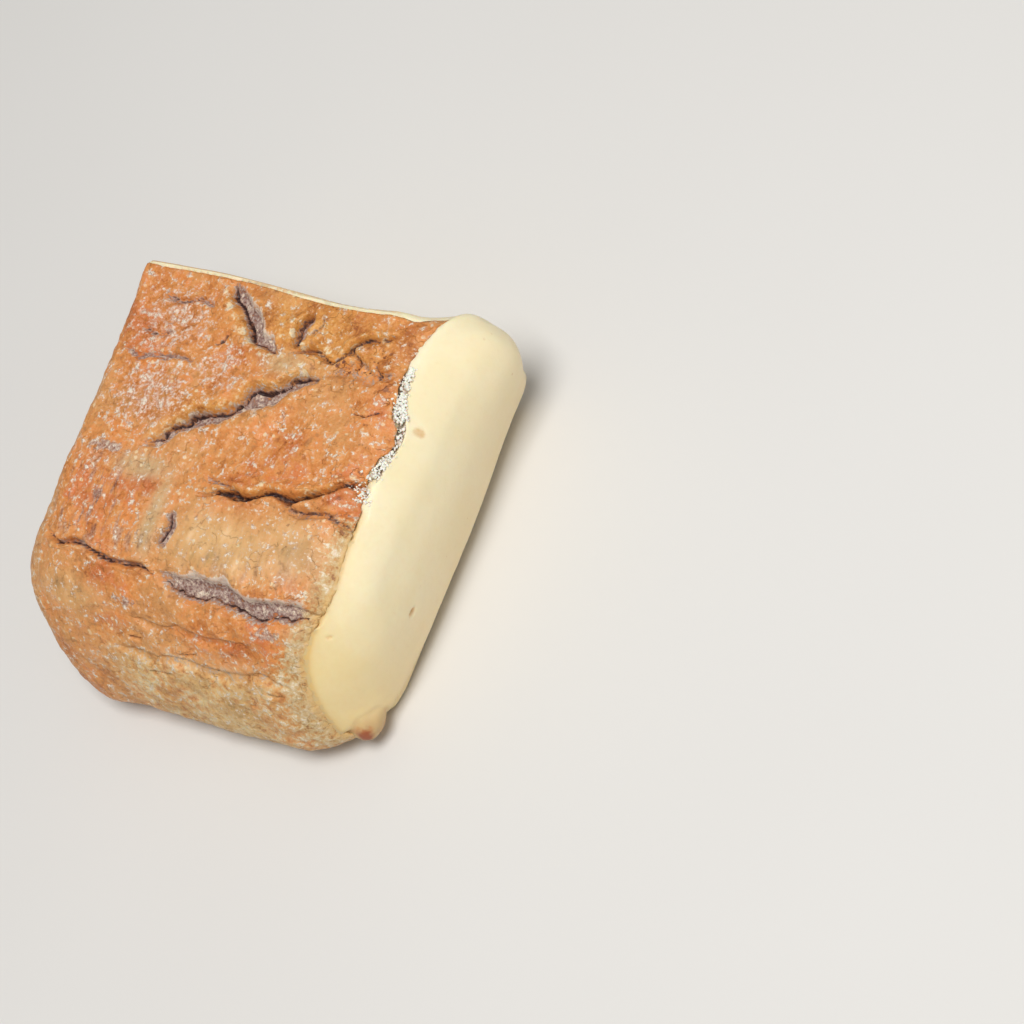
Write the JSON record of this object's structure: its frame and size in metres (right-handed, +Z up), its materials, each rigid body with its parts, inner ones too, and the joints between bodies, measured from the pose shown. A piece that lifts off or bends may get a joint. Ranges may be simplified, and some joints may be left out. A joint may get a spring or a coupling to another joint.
{
  "type": "taleggio cheese",
  "caption": "Square quarter of a soft washed-rind cheese with a creased orange rind, one broad bulging cut face, a second flatter cut and rounded rind sides.",
  "frame": {"origin": "centre of the bounding box, at the height of the lower rind that it rests on", "axes": "+X towards the broad cut, +Y towards the second cut, +Z up from the lower rind to the upper one"},
  "size_m": [0.1104, 0.1098, 0.0509],
  "materials": {
    "washed_rind": "uneven dry rind, orange with grey mould in its creases",
    "paste": "smooth moist ivory paste"
  },
  "bodies": {
    "root": {"cheese_piece": "washed_rind"}
  },
  "joints": []
}
